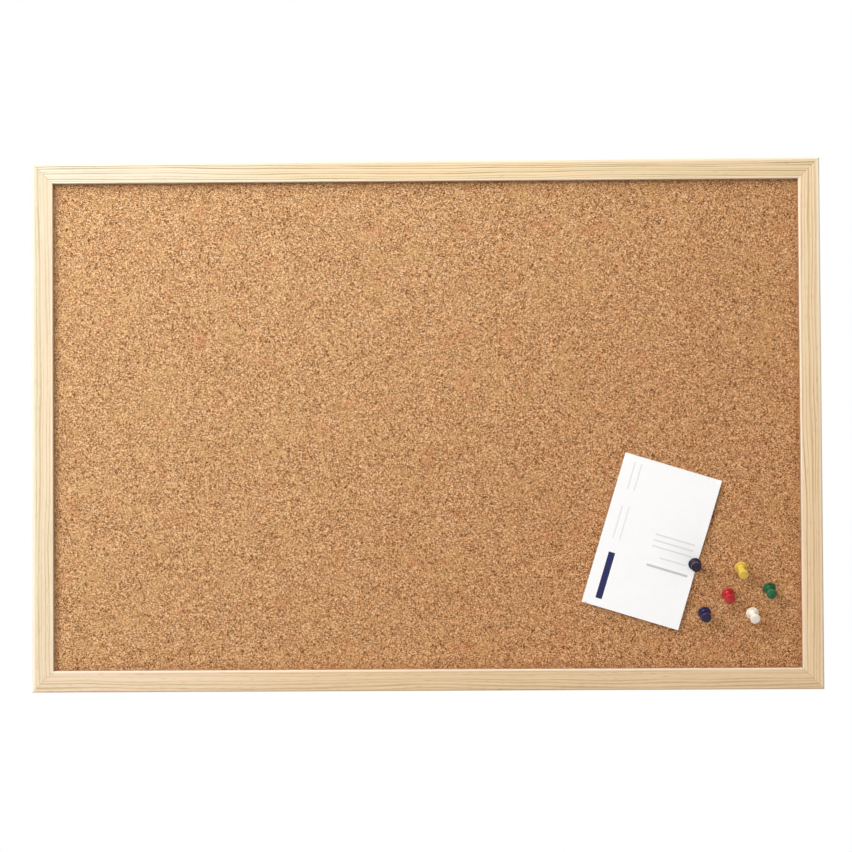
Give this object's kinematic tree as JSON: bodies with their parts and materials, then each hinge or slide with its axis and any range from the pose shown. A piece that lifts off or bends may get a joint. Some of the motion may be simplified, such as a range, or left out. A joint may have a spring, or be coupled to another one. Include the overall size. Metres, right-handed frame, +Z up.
{
  "type": "cork notice board",
  "caption": "Framed cork notice board: mitred pine frame, cork on a core board, ring hangers behind, coloured push pins that pull out and a blank note card on a pin.",
  "frame": {"origin": "centre of the board's back, in the plane of the frame's back faces, which lie against the wall", "axes": "+Z up, +X to the right of someone facing the board, the cork faces -Y and the wall is at +Y"},
  "size_m": [0.595, 0.0306, 0.4],
  "materials": {
    "pine": "planed, clear matt lacquer",
    "cork": "sanded cork granules, unsealed",
    "softboard": "raw fibre",
    "hardboard": "smooth pressed fibre",
    "steel": "bright drawn",
    "zinc_plate": "zinc plated",
    "card": "smooth uncoated",
    "navy_plastic": "moulded gloss",
    "yellow_plastic": "moulded gloss",
    "green_plastic": "moulded gloss",
    "red_plastic": "moulded gloss",
    "white_plastic": "moulded gloss"
  },
  "bodies": {
    "board": {"frame_rail_top": "pine", "frame_rail_bottom": "pine", "frame_stile_left": "pine", "frame_stile_right": "pine", "cork_sheet": "cork", "core_board": "softboard", "back_panel": "hardboard", "corner_vnail_top_left": "steel", "corner_vnail_top_right": "steel", "corner_vnail_bottom_left": "steel", "corner_vnail_bottom_right": "steel", "panel_point_top_1": "steel", "panel_point_top_2": "steel", "panel_point_top_3": "steel", "panel_point_bottom_1": "steel", "panel_point_bottom_2": "steel", "panel_point_bottom_3": "steel", "panel_point_left_1": "steel", "panel_point_left_2": "steel", "panel_point_right_1": "steel", "panel_point_right_2": "steel", "hanger_strap_left": "zinc_plate", "hanger_strap_right": "zinc_plate", "hanger_screw_left_upper": "zinc_plate", "hanger_screw_left_lower": "zinc_plate", "hanger_screw_right_upper": "zinc_plate", "hanger_screw_right_lower": "zinc_plate"},
    "hanger_ring_left": {"hanger_ring_left": "zinc_plate"},
    "hanger_ring_right": {"hanger_ring_right": "zinc_plate"},
    "push_pin_card": {"push_pin_card_head": "navy_plastic", "push_pin_card_needle": "steel"},
    "push_pin_yellow": {"push_pin_yellow_head": "yellow_plastic", "push_pin_yellow_needle": "steel"},
    "push_pin_green": {"push_pin_green_head": "green_plastic", "push_pin_green_needle": "steel"},
    "push_pin_red": {"push_pin_red_head": "red_plastic", "push_pin_red_needle": "steel"},
    "push_pin_blue": {"push_pin_blue_head": "navy_plastic", "push_pin_blue_needle": "steel"},
    "push_pin_white": {"push_pin_white_head": "white_plastic", "push_pin_white_needle": "steel"},
    "note_card": {"note_card": "card"}
  },
  "joints": [
    {"name": "ring_left_swing", "type": "hinge", "parent": "board", "child": "hanger_ring_left", "pos_m": [-0.2917, 0.0019, 0.13], "axis": [-1, 0, 0], "range_deg": [0, 184]},
    {"name": "ring_right_swing", "type": "hinge", "parent": "board", "child": "hanger_ring_right", "pos_m": [0.2917, 0.0019, 0.13], "axis": [-1, 0, 0], "range_deg": [0, 184]},
    {"name": "pin_card_pull", "type": "slide", "parent": "board", "child": "push_pin_card", "axis": [-0.0483, -0.9877, -0.1488], "range_m": [0, 0.03]},
    {"name": "pin_yellow_pull", "type": "slide", "parent": "board", "child": "push_pin_yellow", "axis": [0.0436, -0.866, -0.4981], "range_m": [0, 0.03]},
    {"name": "pin_green_pull", "type": "slide", "parent": "board", "child": "push_pin_green", "axis": [-0.0312, -0.9336, -0.357], "range_m": [0, 0.03]},
    {"name": "pin_red_pull", "type": "slide", "parent": "board", "child": "push_pin_red", "axis": [-0.0356, -0.9563, -0.2902], "range_m": [0, 0.03]},
    {"name": "pin_blue_pull", "type": "slide", "parent": "board", "child": "push_pin_blue", "axis": [-0.0102, -0.9563, -0.2922], "range_m": [0, 0.03]},
    {"name": "pin_white_pull", "type": "slide", "parent": "board", "child": "push_pin_white", "axis": [0.0476, -0.9397, -0.3387], "range_m": [0, 0.03]},
    {"name": "note_card_turn", "type": "hinge", "parent": "push_pin_card", "child": "note_card", "pos_m": [0.20151, -0.0132, -0.10574], "axis": [0, 1, 0], "range_deg": [-14, 60]}
  ]
}
